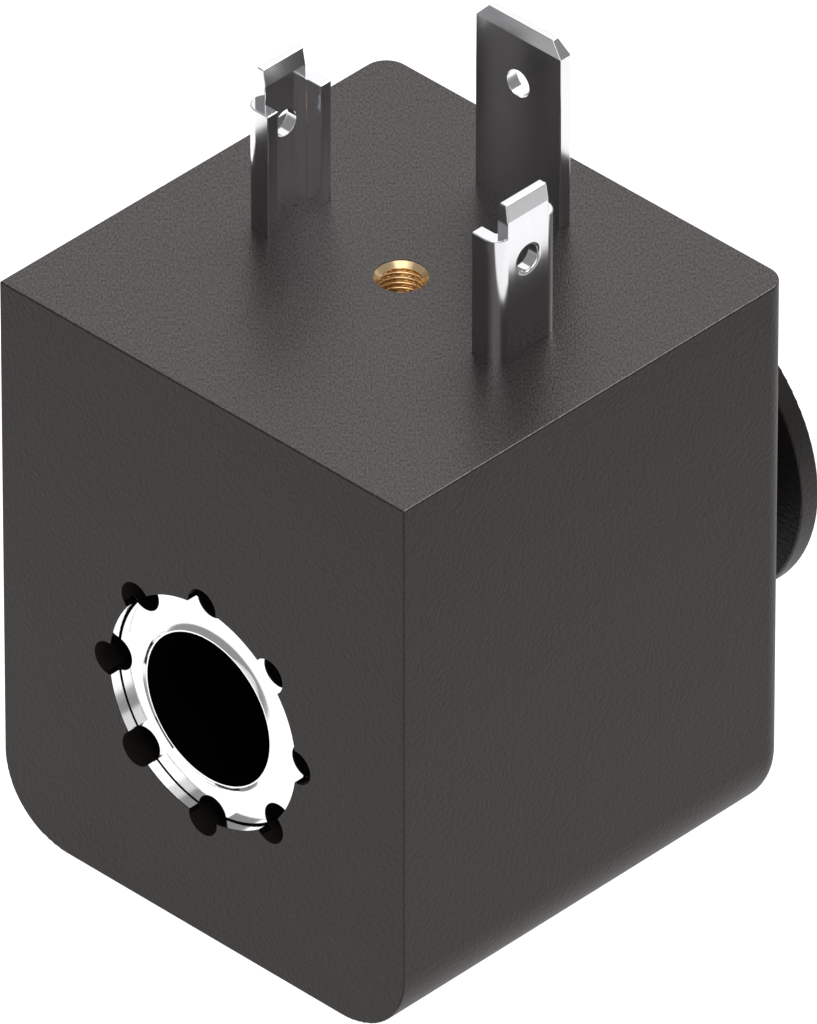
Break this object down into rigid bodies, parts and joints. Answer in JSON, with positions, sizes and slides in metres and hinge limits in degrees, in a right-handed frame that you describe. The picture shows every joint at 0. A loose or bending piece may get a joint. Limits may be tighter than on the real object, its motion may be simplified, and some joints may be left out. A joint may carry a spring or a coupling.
{
  "type": "solenoid valve coil",
  "caption": "Encapsulated solenoid valve coil with blade terminals for a square plug, a bore for the valve's armature tube and a captive round retaining nut.",
  "frame": {"origin": "on the bore's axis, at the bore's front mouth, where the valve's armature tube enters", "axes": "+Y runs along the bore from the front face to the retaining nut, +Z points to the blades, +X is to the right seen from the front"},
  "size_m": [0.03, 0.0375, 0.0476],
  "materials": {
    "moulded_plastic": "fine grained black moulding",
    "nut_plastic": "fine grained black moulding",
    "plated_steel": "bright plating",
    "yoke_steel": "phosphated strip",
    "bobbin_plastic": "black glass filled moulding",
    "enamelled_copper": "enamelled wire",
    "polyester_tape": "thin glossy tape",
    "solder": "dull tin solder",
    "tinned_brass": "bright tin plating",
    "turned_brass": "turned",
    "washer_rubber": "matte",
    "spring_steel": "drawn wire"
  },
  "bodies": {
    "coil": {"housing": "moulded_plastic", "front_ring": "plated_steel", "front_flux_sleeve": "plated_steel", "rear_flux_sleeve": "plated_steel", "yoke_frame": "yoke_steel", "bobbin": "bobbin_plastic", "winding": "enamelled_copper", "winding_tape": "polyester_tape", "start_lead": "enamelled_copper", "finish_lead": "enamelled_copper", "solder_joints": "solder", "terminal_carrier": "bobbin_plastic", "left_terminal": "tinned_brass", "right_terminal": "tinned_brass", "earth_terminal": "tinned_brass", "earth_rivet": "tinned_brass", "threaded_insert": "turned_brass"},
    "nut": {"retaining_nut": "nut_plastic", "nut_thread_insert": "turned_brass", "sealing_washer": "washer_rubber", "snap_ring": "spring_steel"}
  },
  "joints": [
    {"name": "nut_turn", "type": "hinge", "parent": "coil", "child": "nut", "pos_m": [0, 0.02913, 0], "axis": [0, 1, 0], "continuous": true}
  ]
}
